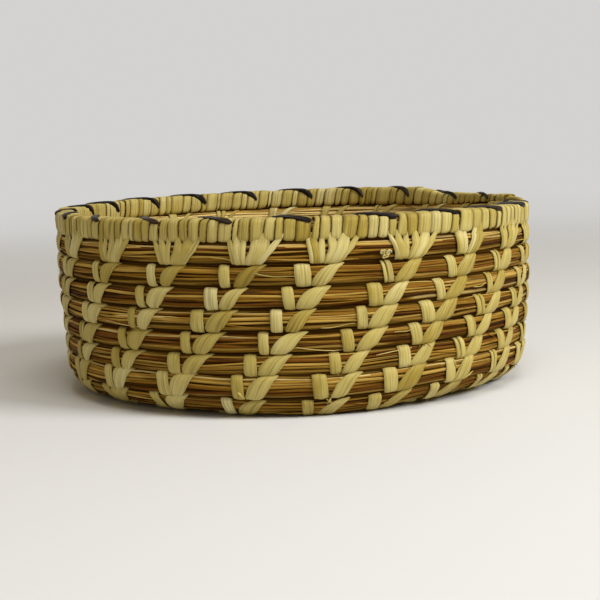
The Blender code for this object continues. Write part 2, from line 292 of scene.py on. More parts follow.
# Closed tubes and strips from rings: rings[piece, row, side] are joined row to row and side to side,
# with a flat cap on each end. A tube whose volume comes out negative has its sides turned round.
def ringMesh(name, rings, tone, shade, uvAcross, uvAlong, material, sharpAngle=None):
    count, rows, sides, _ = rings.shape
    tone = np.broadcast_to(tone, (count, rows, sides)).copy()
    shade = np.broadcast_to(shade, (count, rows, sides)).copy()
    a, b = rings[:, :-1], np.roll(rings[:, :-1], -1, axis=2)
    c, d = np.roll(rings[:, 1:], -1, axis=2), rings[:, 1:]
    centre = rings.mean(axis=(1, 2), keepdims=True)
    volume = (np.einsum("nrsk,nrsk->n", a - centre, np.cross(b - centre, c - centre))
              + np.einsum("nrsk,nrsk->n", a - centre, np.cross(c - centre, d - centre)))
    wrong = volume < 0
    rings = rings.copy()
    rings[wrong] = rings[wrong][:, :, ::-1]
    tone[wrong] = tone[wrong][:, :, ::-1]
    shade[wrong] = shade[wrong][:, :, ::-1]
    uvAcross = np.broadcast_to(uvAcross, (count, rows, sides + 1)).copy()
    uvAcross[wrong] = uvAcross[wrong][:, :, ::-1]
    uvAlong = np.broadcast_to(uvAlong[..., None], (count, rows, sides + 1))

    index = np.arange(count * rows * sides).reshape(count, rows, sides)
    near, far = index[:, :-1], index[:, 1:]
    quads = np.stack([near, np.roll(near, -1, 2), np.roll(far, -1, 2), far], -1).reshape(-1, 4)
    caps = np.concatenate([index[:, 0, ::-1], index[:, -1]])
    uvNear = np.stack([uvAcross, uvAlong], -1)
    uvQuads = np.stack([uvNear[:, :-1, :-1], uvNear[:, :-1, 1:], uvNear[:, 1:, 1:], uvNear[:, 1:, :-1]], 3)
    uvCaps = np.concatenate([uvNear[:, 0, :-1][:, ::-1], uvNear[:, -1, :-1]])

    mesh = bpy.data.meshes.new(name)
    mesh.vertices.add(count * rows * sides)
    mesh.vertices.foreach_set("co", rings.astype(np.float32).ravel())
    mesh.loops.add(quads.size + caps.size)
    mesh.loops.foreach_set("vertex_index", np.concatenate([quads.ravel(), caps.ravel()]).astype(np.int32))
    starts = np.concatenate([np.arange(len(quads)) * 4, quads.size + np.arange(len(caps)) * sides])
    mesh.polygons.add(len(starts))
    mesh.polygons.foreach_set("loop_start", starts.astype(np.int32))
    smooth = np.ones(len(starts), bool)
    smooth[len(quads):] = False
    mesh.polygons.foreach_set("use_smooth", smooth)
    mesh.update(calc_edges=True)
    layer = mesh.uv_layers.new(name="strip")
    layer.data.foreach_set("uv", np.concatenate([uvQuads.reshape(-1, 2), uvCaps.reshape(-1, 2)])
                           .astype(np.float32).ravel())
    mesh.attributes.new("tone", "FLOAT", "POINT").data.foreach_set("value", tone.astype(np.float32).ravel())
    mesh.attributes.new("shade", "FLOAT", "POINT").data.foreach_set("value", shade.astype(np.float32).ravel())
    if sharpAngle:
        mesh.set_sharp_from_angle(angle=math.radians(sharpAngle))
    mesh.materials.append(material)
    piece = bpy.data.objects.new(name, mesh)
    bpy.context.scene.collection.objects.link(piece)
    return piece


# ties a finished piece to the body and hides the solids that it stands for
def finishPiece(piece, slot, *nodes):
    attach(piece, "root")
    if nodes:
        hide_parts(*nodes)
    print(f"{piece.name}: {len(piece.data.polygons)} faces")
    return piece


# slow waves, one row for each strand: three sines of unlike length with their own phases, about -1 to 1
def slowWaves(rng, count, along, lengths):
    total = np.zeros((count, len(along)))
    for length in lengths:
        own = length * rng.uniform(0.75, 1.3, (count, 1))
        total = total + np.sin(2 * math.pi * along / own + rng.uniform(0, 2 * math.pi, (count, 1)))
    return total / math.sqrt(len(lengths) * 1.5)


# the section of a lap: squarish and a little taller than deep, so that laps touch and legs lie flat
section = {"depth": 3.9 * mm, "height": 4.14 * mm, "square": 0.06}


# out and up of a place on the section, lifted off its skin: a circle with a third wave that squares it
def onSection(angle, size, lift, square=section["square"]):
    out = (np.cos(angle) - square * np.cos(3 * angle)) / (1 - square)
    up = (np.sin(angle) + square * np.sin(3 * angle)) / (1 - square)
    return out * (section["depth"] * size + lift), up * (section["height"] * size + lift)


bundle = {
    # painted light and shade: "inside" makes the stems on the basket's inner side paler, standing in for the light on
    # the inner wall, and "insideLight" takes most painted shade off them; "under" is painted shade on the lower half of
    # a lap, starting "underFrom" below its middle
    "stems": 24, "sides": 6, "spacing": 4.8 * mm, "thin": 0.46 * mm, "thick": 1.0 * mm, "inside": 0.5, "insideLight": 0.85, "underFrom": 1.0 * mm,
    "under": 0.45,
    "sway": 0.12, "swayLengths": (0.061, 0.147, 0.39), "sink": 0.36 * mm, "sinkLengths": (0.037, 0.083, 0.21),
    "bulge": 0.30 * mm, "stemLength": (0.05, 0.26), "seed": 11,
}


# The grass bundle. Each stem is a round tube that follows the coil at its own angle and depth in the
# bundle, both wandering slowly; the bundle swells between stitches and is drawn in under them.
def makeBundle(name, start, end, slot, nodes, stems=None):
    rng = np.random.default_rng(bundle["seed"])
    count = stems or bundle["stems"]
    laps = coilStops(start, end, bundle["spacing"])
    along = coilLength(laps)
    size = bundleHalf(laps) / spiral["half"]
    sway = bundle["sway"] * slowWaves(rng, count, along, bundle["swayLengths"])
    angle = (2 * math.pi * (np.arange(count)[:, None] + rng.uniform(-0.3, 0.3, (count, 1))) / count) + sway
    thick = rng.uniform(bundle["thin"], bundle["thick"], (count, 1)) * (bundle["stems"] / count) ** 0.7
    thick = thick * (1 + 0.15 * slowWaves(rng, count, along, (0.03, 0.11)))
    sink = bundle["sink"] * (0.5 + 0.5 * slowWaves(rng, count, along, bundle["sinkLengths"]))
    cuts = np.cumsum(rng.uniform(*bundle["stemLength"], (count, 200)), axis=1)
    tones = rng.beta(1.3, 1.5, (count, 201))
    segment = np.stack([np.searchsorted(row, along) for row in cuts])
    # painted light: stems on the inner side get a paler tone
    tone = np.take_along_axis(tones, segment, 1) + bundle["inside"] * (np.cos(angle) < 0)
    nearest = np.stack([np.abs(along[:, None] - row[None, :60]).min(1) for row in cuts])
    thick = thick * (1 - 0.45 * np.exp(-(nearest / (5 * mm)) ** 2)) * size
    between = 0.5 - 0.5 * np.cos(2 * math.pi * (laps * spiral["stitches"] - spiral["holePlace"] + 0.1))
    lift = (bundle["bulge"] * between - 0.06 * mm - np.maximum(sink, 0)) * size - thick
    ring = np.linspace(0, 2 * math.pi, bundle["sides"], endpoint=False)
    outMid, upMid = onSection(angle, size, lift)
    out = outMid[..., None] + thick[..., None] * np.cos(ring)
    up = upMid[..., None] + thick[..., None] * np.sin(ring)
    rings = coilPoint(laps[None, :, None], out, up)
    inner = (np.cos(angle) < 0)[..., None]
    # painted shade: the sides of a stem, whatever lies deep or in the crevice, and the lower half of a lap
    # are darker, and the stems on the inner side keep little of it
    below = (bundle["bulge"] - lift[..., None] - thick[..., None] * np.cos(ring - angle[..., None])) / mm
    under = np.clip((-up / size[:, None] - bundle["underFrom"]) / (2.4 * mm), 0, 1) * bundle["under"]
    shade = under + np.clip(below - 0.42, 0, 1) + np.clip((np.abs(up) / size[:, None] - 3.0 * mm) / (1.2 * mm), 0, 1) * 0.8
    across = np.linspace(0, 4 * mm, bundle["sides"] + 1) + rng.uniform(0, 1, (count, 1, 1))
    shade = np.clip(shade, 0, 1) * (1 - bundle["insideLight"] * inner)
    piece = ringMesh(name, rings, tone[..., None], shade, across,
                     np.broadcast_to(along, (count, len(along))), dryGrass)
    finishPiece(piece, slot, *nodes)
    # the imported stems inside, and those that fill the crevice to the lap above, seen only as dark:
    # a dark filler with strong painted shade
    core = coilStops(start, end, bundle["spacing"] * 1.5)
    coreSize = (bundleHalf(core) / spiral["half"])[:, None]
    turn = np.linspace(0, 2 * math.pi, 12, endpoint=False)
    out, up = onSection(turn, coreSize, -0.6 * mm * coreSize)
    outs, ups = [out], [up]
    if start >= 1:
        outs.append(2.5 * mm * coreSize * np.cos(turn))
        ups.append(4.17 * mm + 1.0 * mm * coreSize * np.sin(turn))
    rings = np.stack([coilPoint(core[:, None], out, up) for out, up in zip(outs, ups)])
    inner = ringMesh(name + "Core", rings, 0.3, 0.8, np.linspace(0, 20 * mm, 13),
                     np.broadcast_to(coilLength(core), (len(rings), len(core))), dryGrass)
    return finishPiece(inner, slot, *nodes)


makeBundle("upperBundle", 1.0, 6.0, "grass_bundle", ["wall_coil"])
makeBundle("lowerBundle", 6.0, wallLaps, "grass_bundle", ["wall_coil"])
makeBundle("baseBundle", wallLaps, coilLaps + 0.33, "grass_bundle", ["base_coil"])
makeBundle("rimBundle", 0.0, 1.0, "grass_bundle", ["rim_coil"], stems=12)

# a tight curl of stems closes the middle of the base; heights are from the coil's own there
heart = {"height": (-1.7, -1.6, -1.0, 0.4, 1.4, 1.9), "radius": (0.2, 5.4, 7.4, 7.2, 3.2, 0.2), "sides": 18}


def makeHeart():
    middle = profileAt(lapDepth(np.array([coilLaps])))[1][0]
    turn = np.linspace(0, 2 * math.pi, heart["sides"], endpoint=False)
    radius, height = (np.array(heart[key])[:, None] * mm for key in ("radius", "height"))
    rings = np.stack(np.broadcast_arrays(radius * np.cos(turn), radius * np.sin(turn), middle + height), -1)
    curl = ringMesh("baseHeart", rings[None], 0.45, 0.3, np.linspace(0, 9 * mm, heart["sides"] + 1),
                    np.linspace(0, 30 * mm, len(radius))[None], dryGrass)
    return finishPiece(curl, "grass_bundle", "base_coil")


makeHeart()
print("bundles made")

# across a strip: place as a share of its half width, and height as shares of thickness and of crown;
# "edge" is how much painted shade each place along the strip's edges gets
stripShape = {
    "across": np.array([-1.0, -0.84, -0.5, -0.16, 0.18, 0.52, 0.84, 1.0, 0.94, -0.94]),
    "thick": np.array([0.5, 0.96, 1.0, 1.0, 1.0, 1.0, 0.96, 0.5, 0.0, 0.0]),
    "crown": np.array([0.0, 0.4, 0.85, 1.0, 1.0, 0.85, 0.4, 0.0, -0.3, -0.3]),
    "ridges": np.array([0.0, 0.6, 1.0, 1.0, 1.0, 1.0, 0.6, 0.0, 0.0, 0.0]),
    "edge": np.array([1.0, 0.4, 0.0, 0.0, 0.0, 0.0, 0.4, 1.0, 1.0, 1.0]),
}


# Flat strips laid round the bundle. x runs along the lap from each hole and angle round the bundle;
# both hold the strip's left and right edge, as [strip, row, 2]. Ridges follow the leaf's fibres.
def makeStrips(name, holes, x, angle, look, material, slot, nodes, lift=0.0, tone=0.5, shade=0.0,
               surface=onSection):
    count, rows = x.shape[:2]
    rng = np.random.default_rng(len(name) + count)
    share = (stripShape["across"] + 1) / 2
    angle = np.broadcast_to(angle, (count, rows, 2))
    xAll = x[..., :1] * (1 - share) + x[..., 1:] * share
    turn = angle[..., :1] * (1 - share) + angle[..., 1:] * share
    width = np.hypot(x[..., 1] - x[..., 0], (angle[..., 1] - angle[..., 0]) * section["height"])
    ridges = stripShape["ridges"] * rng.normal(0, look["ridge"], (count, 1, len(share)))
    tilt = rng.normal(0, look["tilt"], (count, 1, 1)) * stripShape["across"]
    rise = look["thickness"] * stripShape["thick"] + look["crown"] * stripShape["crown"] + ridges + tilt
    rise = rise * np.minimum(width / look["fullWidth"], 1)[..., None] ** 0.6
    radius = profileAt(lapDepth(holes))[0]
    laps = holes[:, None, None] + xAll / (2 * math.pi * np.maximum(radius, 5 * mm))[:, None, None]
    lift = np.broadcast_to(lift, (count, rows))[..., None]
    out, up = surface(turn, bundleHalf(laps) / spiral["half"], lift + rise)
    rings = coilPoint(laps, out, up)
    step = np.hypot(np.diff(x.mean(-1), axis=1), np.diff(angle.mean(-1), axis=1) * section["height"])
    along = np.concatenate([np.zeros((count, 1)), np.cumsum(step, axis=1)], 1) + rng.uniform(0, 3, (count, 1))
    across = np.append(stripShape["across"], -1.0) * width[..., None] / 2 + rng.uniform(0, 1, (count, 1, 1))
    # painted shade: the strip's edges are darkened by the look's "edge" so the seams read as shaded gaps, and the shade
    # passed in is kept where it is larger
    deep = np.maximum(np.broadcast_to(shade, (count, rows))[..., None], look["edge"] * stripShape["edge"])
    piece = ringMesh(name, rings, np.broadcast_to(tone, (count, rows))[..., None], deep, across, along,
                     material, sharpAngle=40)
    return finishPiece(piece, slot, *nodes)


def anglesOf(degrees):
    return np.radians(np.asarray(degrees, float))


# the V stitch, in degrees round the bundle and mm along it from its hole, for a full-size stitch:
# a broad upright leg, and a leaf-shaped leg that leans to the right and runs on inside to the next hole
sewing = {
    "leftAngles": (-104, -60, -30, 0, 30, 60, 90, 150, 210, 262),
    "leftEdges": ((-4.6, -5.3, -5.55, -5.75, -5.85, -5.9, -5.9, -5.2, -3.4, -0.4),
                  (-0.5, -0.4, -0.4, -0.45, -0.6, -0.75, -0.9, -0.8, -0.2, 1.2)),
    "rightAngles": (-100, -75, -45, -20, 0, 20, 45, 70, 90, 110, 150, 200, 240, 262),
    "rightEdges": ((-0.5, -0.6, -0.5, -0.1, 0.7, 2.1, 4.8, 8.1, 10.8, 12.4, 15.4, 19.6, 23.4, 26.6),
                   (2.0, 4.0, 5.6, 7.2, 8.4, 9.6, 11.3, 12.6, 13.2, 14.6, 18.0, 22.2, 25.6, 28.0)),
    # on the left of the basket the leg's left edge goes straight up and its lower end is a point
    "leafEdges": ((2.4, 1.4, 0.2, -0.2, -0.1, 0.3, 2.0, 6.0, 9.6, 12.0, 15.4, 19.6, 23.4, 26.6),
                  (2.8, 3.0, 4.2, 6.2, 7.6, 9.0, 11.0, 12.6, 13.2, 14.6, 18.0, 22.2, 25.6, 28.0)),
    # on the right of the basket the leg is broader at its foot, and joined to its neighbour there
    "joinedEdges": ((-3.6, -3.5, -3.1, -1.9, -0.3, 1.6, 4.0, 6.2, 7.8, 9.8, 14.0, 18.6, 23.0, 26.6),
                    (1.8, 4.0, 5.9, 7.4, 8.2, 9.0, 10.1, 11.0, 11.8, 13.8, 18.0, 22.2, 25.6, 28.0)),
    "rows": 24,
    "seed": 5,
    "splitShare": 0.22,        # of the legs, torn into two strands
    "leanFrom": 0.15, "leanTo": 0.5, "lean": 1.3,     # legs to the right of the front lean, mm at the top
    "strip": {"thickness": 0.34 * mm, "crown": 0.2 * mm, "fullWidth": 3.0 * mm, "ridge": 0.035 * mm,
              "tilt": 0.06 * mm, "edge": 0.3},
}
rowNames = ("First", "Second", "Third", "Fourth", "Fifth", "Sixth", "Seventh", "Eighth")


# The columns of stitches aren't evenly spaced by hand: how far the nine in view are off to the right,
# in mm, with the unseen ones between them easing back. A column has the same number in each lap.
columns = {
    "first": 32, "inLap": 22,
    "shifts": (-2.0, -5.0, -6.5, -4.5, -1.4, 0.1, 1.2, 5.2, 5.2, 4.4, 4.0, 3.0, 1.5),
    "drift": (0.0, 0.0, 0.0, 0.0, -0.45, -0.3, 0.1, 0.0, -0.1, 0.0, 0.0, 0.0, 0.0),     # more with each row
}


def stitchShift(number):
    lap, column = np.divmod(np.asarray(number) - columns["first"], columns["inLap"])
    spots = np.arange(-1, len(columns["shifts"]) + 1)
    shift = np.interp(column, spots, (0, *columns["shifts"], 0))
    return (shift + np.interp(column, spots, (0, *columns["drift"], 0)) * (lap - 1)) * mm


# laps of a row's stitch holes
def rowHoles(row):
    first = math.ceil(row * spiral["stitches"])
    last = math.ceil((row + 1) * spiral["stitches"])
    return (np.arange(first, last) + spiral["holePlace"]) / spiral["stitches"]


def holeNumbers(holes):
    return np.round(holes * spiral["stitches"] - spiral["holePlace"]).astype(int)


# how far round from the front towards the right a place on the coil lies, in radians
def rightOfFront(laps):
    return (spiral["endAngle"] + 2 * math.pi * laps + math.pi) % (2 * math.pi) - math.pi


# One leg of every stitch in a row and its way back through the basket's inside
def makeLegs(name, holes, side, nodes, scale=1.0, seedShift=0, start=None):
    rng = np.random.default_rng(sewing["seed"] + seedShift)
    count = len(holes)
    knots = anglesOf(sewing[side + "Angles"])
    angle = np.linspace(knots[0] if start is None else start, knots[-1], sewing["rows"])
    scale = np.broadcast_to(scale, (count,))[:, None]
    share = np.clip((rightOfFront(holes) - sewing["leanFrom"]) / (sewing["leanTo"] - sewing["leanFrom"]), 0, 1)
    edges = [np.interp(angle, knots, edge) * mm for edge in sewing[side + "Edges"]]
    if side == "right":
        leaf = np.clip(-rightOfFront(holes) / sewing["leanTo"] - 0.4, 0, 1)
        for part, kind in ((share, "joinedEdges"), (leaf, "leafEdges")):
            others = [np.interp(angle, knots, edge) * mm for edge in sewing[kind]]
            edges = [edge + (other - edge) * part[:, None] for edge, other in zip(edges, others)]
    middle = (edges[0] + edges[1]) / 2 * (1 + rng.uniform(-0.08, 0.1, (count, 1)) * (side == "right"))
    narrow = 0.3 if side == "left" else 0.2
    wide = 1 + rng.uniform(-narrow, 0.1, (count, 1)) + 0.02 * rng.normal(0, 1, (count, sewing["rows"]))
    half = (edges[1] - edges[0]) / 2 * wide * np.clip(scale * 1.25, 0.35, 1)
    lean = rng.normal(0, 0.35, (count, 1)) - share[:, None] * sewing["lean"] * (side == "left")
    bend = np.where(angle < math.pi / 2, (np.sin(np.maximum(angle, -math.pi / 2)) + 1) / 2, np.cos(angle / 2) ** 2 * 2)
    middle = (middle + lean * mm * bend) * scale + rng.normal(0, 0.2, (count, 1)) * mm
    # torn legs are two strands side by side, the others one
    torn = (rng.uniform(0, 1, count) < sewing["splitShare"]) & (scale[:, 0] > 0.5) & (side == "left")
    owner = np.repeat(np.arange(count), 1 + torn)
    second = np.concatenate([[False], owner[1:] == owner[:-1]])
    tear = rng.uniform(-0.25, 0.3, count)[owner][:, None]
    slit = 0.12 * (1 + np.sin(np.minimum(angle, math.pi / 2))) / 2
    isTorn = torn[owner][:, None]
    # the pass inside runs on to the next hole, which has a shift of its own
    shift = stitchShift(holeNumbers(holes))[:, None]
    onward = stitchShift(holeNumbers(holes) + 1)[:, None] - shift
    middle = middle + (shift + onward * np.clip((angle - math.pi / 2) / math.pi, 0, 1) * (side == "right")) * scale
    left = np.where(isTorn & second[:, None], tear + slit, -1.0) + 0 * angle
    right = np.where(isTorn & ~second[:, None], tear - slit, 1.0) + 0 * angle
    x = np.stack([middle[owner] + half[owner] * left, middle[owner] + half[owner] * right], -1)
    lift = rng.normal(0.02, 0.05, (len(owner), 1)) * mm
    tone = np.clip(rng.normal(0.5, 0.1, (len(owner), 1)), 0.05, 0.68)
    # painted shade: the leg darkens where it runs inside the basket and where its ends go into the crevice between laps
    inside = np.clip((angle - 1.7) / 1.2, 0, 1) * 0.1
    crevice = np.clip((np.abs(np.sin(angle)) - 0.78) / 0.22, 0, 1) * 0.75
    return makeStrips(name, holes[owner], x, angle[:, None], sewing["strip"], splitLeaf, "pale_splint", nodes,
                      lift=lift, tone=tone, shade=np.maximum(inside, crevice))


for row in range(1, 9):
    node = f"wall_splint_{row}"
    for side in ("left", "right"):
        makeLegs(rowNames[row - 1].lower() + "Row" + side.capitalize() + "Legs", rowHoles(row), side, [node],
                 seedShift=row * 2 + (side == "right"), start=anglesOf(75) if row == 1 else None)

# The first row's legs are torn into strands that spread like a fan, with tips over the rim's wraps.
# Each strand: the part of its leg that it is torn from, as shares from left to right, its tip, in mm
# along from the hole, and how high the tip reaches, as degrees on the straight way up
fans = {
    "leaves": math.radians(42), "tear": 0.48, "rows": 16, "seed": 21, "tipWidth": 0.5 * mm,
    "strands": {
        "left": ((0.0, 0.36, -7.4, 90), (0.24, 0.74, -4.3, 99), (0.62, 1.0, -0.9, 96)),
        "right": ((0.0, 0.42, 3.4, 96), (0.26, 0.84, 8.4, 102), (0.66, 1.0, 13.0, 96)),
    },
}


# the first row's face, which goes straight up from where the strands leave the bundle
def fanSurface(angle, size, lift):
    low = np.minimum(angle, fans["leaves"])
    out, up = onSection(low, size, lift)
    return out, up + (angle - low) * section["height"]


def makeFans(side, nodes):
    rng = np.random.default_rng(fans["seed"] + (side == "right"))
    holes = rowHoles(1)
    knots = anglesOf(sewing[side + "Angles"])
    way = np.linspace(0, 1, fans["rows"])
    open_ = np.clip((way - fans["tear"]) / (1 - fans["tear"]), 0, 1)
    pieces, owners = [], []
    for low, high, tip, top in fans["strands"][side]:
        keep = np.flatnonzero(rng.uniform(0, 1, len(holes)) < 0.95)
        count = len(keep)
        end = np.radians(top + rng.normal(0, 4, (count, 1)))
        angle = knots[0] + (end - knots[0]) * way
        edges = [np.interp(np.minimum(angle, 0.2), knots, edge) * mm for edge in sewing[side + "Edges"]]
        spread = (tip + rng.normal(0, 0.7, (count, 1))) * mm
        middle = edges[0] + (edges[1] - edges[0]) * (low + high) / 2
        middle = middle + (spread - middle) * open_ ** 1.1 + stitchShift(holeNumbers(holes[keep]))[:, None]
        half = (edges[1] - edges[0]) * (high - low) / 2 * (1 - open_ ** 3.2) + fans["tipWidth"] / 2
        pieces.append((np.stack([middle - half, middle + half], -1), angle))
        owners.append(keep)
    x = np.concatenate([piece[0] for piece in pieces])
    angle = np.concatenate([piece[1] for piece in pieces])
    owner = np.concatenate(owners)
    lift = (0.05 + 0.12 * (side == "right") + rng.normal(0, 0.06, (len(owner), 1))) * mm
    tone = np.clip(rng.normal(0.52, 0.1, (len(owner), 1)), 0.05, 0.7)
    return makeStrips("firstRow" + side.capitalize() + "Fans", holes[owner], x, angle[..., None],
                      sewing["strip"], splitLeaf, "pale_splint", nodes, lift=lift, tone=tone,
                      surface=fanSurface)


for side in ("left", "right"):
    makeFans(side, ["wall_splint_1"])

# the sewing of the foot and base: the same stitch, drawn together as the laps get shorter
baseSewing = {"firstRow": 9, "lastRow": 18, "full": 27.4 * mm, "least": 7.0 * mm}
baseHoles = np.concatenate([rowHoles(row) for row in range(baseSewing["firstRow"], baseSewing["lastRow"] + 1)])
baseHoles = baseHoles[baseHoles < coilLaps - 0.1]
number = np.round(baseHoles * spiral["stitches"] - spiral["holePlace"]).astype(int)
spaceNow = 2 * math.pi * profileAt(lapDepth(baseHoles))[0] / spiral["stitches"]
skip = np.where(spaceNow > baseSewing["least"], 1, np.where(spaceNow > baseSewing["least"] / 2, 2, 4))
kept = number % skip == 0
baseHoles, baseScale = baseHoles[kept], np.minimum((spaceNow * skip)[kept] / baseSewing["full"], 1)
for side in ("left", "right"):
    makeLegs("base" + side.capitalize() + "Legs", baseHoles, side, [], scale=baseScale, seedShift=40 + (side == "right"))
print("sewing made")

# round tapered fibres through points[strand, point, 3], thick in the middle or at the foot
def makeFibres(name, points, thick, tone, material, slot, sides=5):
    count, rows = points.shape[:2]
    along = np.gradient(points, axis=1)
    along = along / np.linalg.norm(along, axis=2, keepdims=True)
    side = np.cross(along, np.array([0.2, 0.1, 1.0]))
    side = side / np.linalg.norm(side, axis=2, keepdims=True)
    other = np.cross(along, side)
    ring = np.linspace(0, 2 * math.pi, sides, endpoint=False)[:, None]
    skin = np.cos(ring) * side[:, :, None] + np.sin(ring) * other[:, :, None]
    rings = points[:, :, None] + np.broadcast_to(thick, (count, rows))[..., None, None] * skin
    rings[..., 2] = np.maximum(rings[..., 2], strays["lowest"])
    length = np.linspace(0, 20 * mm, rows) + np.zeros((count, 1))
    piece = ringMesh(name, rings, np.broadcast_to(tone, (count, rows))[..., None], 0.0,
                     np.linspace(0, 3 * mm, sides + 1), length, material)
    return finishPiece(piece, slot)


strays = {
    "stems": 150, "seed": 31, "length": (14.0 * mm, 46.0 * mm), "thick": (0.16 * mm, 0.34 * mm), "rows": 9,
    "slant": 0.5, "lowest": 0.05 * mm,
    "frayed": (61, 81, 105, 106, 149), "frayShare": 0.25, "frayFibres": 7, "frayLength": (1.0 * mm, 3.4 * mm), "frayThick": 0.17 * mm,
}


# thin stems that have worked loose and cross the others at a slight slant on the outer face
def makeStrayStems():
    rng = np.random.default_rng(strays["seed"])
    count = strays["stems"]
    laps = rng.uniform(1.0, wallLaps - 1.5, (count, 1))
    way = np.linspace(-0.5, 0.5, strays["rows"])
    length = rng.uniform(*strays["length"], (count, 1))
    inward = rng.uniform(0, 1, (count, 1)) < 0.3
    angle = rng.uniform(-0.9, 0.9, (count, 1)) + rng.normal(0, strays["slant"], (count, 1)) * way + inward * math.pi
    thick = rng.uniform(*strays["thick"], (count, 1)) * (1 - (2 * np.abs(way)) ** 3 * 0.8)
    out, up = onSection(angle, 1.0, bundle["bulge"] * 0.4 - 1.2 * mm * (2 * way) ** 4)
    radius = profileAt(lapDepth(laps))[0]
    points = coilPoint(laps + way * length / (2 * math.pi * radius), out, up)
    return makeFibres("strayStems", points, thick, rng.beta(1.6, 1.2, (count, 1)), dryGrass, "grass_bundle")


# short torn fibres that stand out of some of the holes
def makeFrays():
    rng = np.random.default_rng(strays["seed"] + 1)
    holes = np.concatenate([rowHoles(row) for row in range(1, 9)])
    chosen = (rng.uniform(0, 1, len(holes)) < strays["frayShare"]) | np.isin(holeNumbers(holes), strays["frayed"])
    holes = holes[chosen]
    shift = stitchShift(holeNumbers(holes))
    holes = np.repeat(holes, strays["frayFibres"])
    count = len(holes)
    foot = np.repeat(shift, strays["frayFibres"])[:, None] + rng.normal(-0.3, 1.0, (count, 1)) * mm
    way = np.linspace(0, 1, 5)
    length = rng.uniform(*strays["frayLength"], (count, 1))
    x = foot + rng.normal(0, 0.8, (count, 1)) * length * way
    out = (2.6 * mm + length * 0.45 * way ** 0.7) + 0.6 * mm * way
    up = -4.0 * mm + rng.normal(0, 0.5, (count, 1)) * length * way + rng.normal(0, 0.3, (count, 1)) * mm
    radius = profileAt(lapDepth(holes))[0][:, None]
    points = coilPoint(holes[:, None] + x / (2 * math.pi * radius), out, up)
    thick = strays["frayThick"] * rng.uniform(0.6, 1.6, (count, 1)) * (1.1 - way)
    return makeFibres("frayedFibres", points, thick, rng.uniform(0.0, 0.5, (count, 1)), splitLeaf, "pale_splint")


# Loose ends of splint on the outer face, in mm along and up from a stitch's middle: number of the
# stitch, first place, last place, thickness, and how far its middle stands off
looseEnds = ((59, 8.0, 1.1, 22.6, -0.4, 0.22, 0.5), (170, -2.9, -1.6, -0.5, -3.4, 0.6, 0.4),
             (173, -2.8, 4.4, -1.4, 0.6, 0.35, 0.6), (173, 2.4, -3.2, 8.6, -1.6, 0.5, 0.4),
             (36, 15.6, -0.6, 24.0, -2.6, 0.18, 0.5), (104, 13.0, -2.8, 25.0, -2.0, 0.2, 0.4),
             (127, 14.0, 1.4, 22.0, 2.6, 0.22, 0.6), (84, 12.5, -0.6, 20.0, 0.5, 0.25, 0.5))
# the clipped end of a splint, drawn up into small curls above one stitch
knot = {"number": 61, "x": (-5.9, -3.5), "up": 6.7, "out": 4.3, "curls": 11, "radius": (0.4, 1.0), "turn": 4.2,
        "thick": 0.27, "seed": 12}


def placeOf(number, x, up, out):
    holes = (np.asarray(number) + spiral["holePlace"]) / spiral["stitches"]
    radius = profileAt(lapDepth(holes))[0]
    return coilPoint(holes + (x * mm + stitchShift(number)) / (2 * math.pi * radius), out * mm, up * mm)


# two loops of splint that stand off the rim, beside the loose end and at the far left: number of the
# stitch, then places in mm along, up and out, and the thickness
standing = ((-1, (7.0, 3.5, 0.0, -4.0, -8.0, -11.0, -13.0), (-1.4, 0.3, 1.0, 1.1, 0.7, -0.4, -2.4),
             (-1.6, -0.8, 0.2, 1.2, 2.4, 3.4, 4.0), 0.85),
            (10, (1.0, 1.4, 1.8, 2.0, 2.0, 1.8, 1.4), (-3.4, 0.0, 2.9, 4.5, 4.8, 4.0, 2.4),
             (4.3, 4.7, 4.3, 2.5, 0.0, -2.6, -4.2), 0.65))


def makeCurls():
    way = np.linspace(0, 6, 25)
    points = []
    for number, x, up, out, thick in standing:
        points.append(placeOf(number, *(np.interp(way, range(7), values) for values in (x, up, out))))
    thick = np.array([row[-1] for row in standing])[:, None] * mm
    return makeFibres("standingCurls", np.stack(points), thick, 0.5, splitLeaf, "pale_splint", sides=8)


def makeLooseEnds():
    rng = np.random.default_rng(knot["seed"])
    number, x0, up0, x1, up1, thick, off = [column[:, None] for column in np.array(looseEnds).T]
    way = np.linspace(0, 1, 9)
    up = up0 + (up1 - up0) * way + 0.35 * np.sin(way * 5 + number)
    face = section["depth"] / mm * np.cos(np.clip(up / 4.6, -1.2, 1.2)) + 0.45
    ends = placeOf(number, x0 + (x1 - x0) * way, up, face + off * np.sin(way * math.pi))
    makeFibres("looseSplintEnds", ends, thick * mm * (1 - 0.7 * way ** 2), 0.45, splitLeaf, "pale_splint")
    curls = knot["curls"]
    turn = rng.uniform(0, 6, (curls, 1)) + np.linspace(0, knot["turn"], 9)
    radius = rng.uniform(*knot["radius"], (curls, 1))
    x = np.linspace(*knot["x"], curls)[:, None] + radius * np.cos(turn)
    up = knot["up"] + rng.uniform(-1.0, 1.0, (curls, 1)) + radius * np.sin(turn)
    out = knot["out"] + rng.uniform(-0.3, 0.5, (curls, 1)) + 0.4 * np.sin(turn * 0.7)
    return makeFibres("clippedKnot", placeOf(knot["number"], x, up, out), knot["thick"] * mm, rng.uniform(0.3, 0.8, (curls, 1)), splitLeaf,
                      "pale_splint")


makeStrayStems()
makeFrays()
makeLooseEnds()
makeCurls()

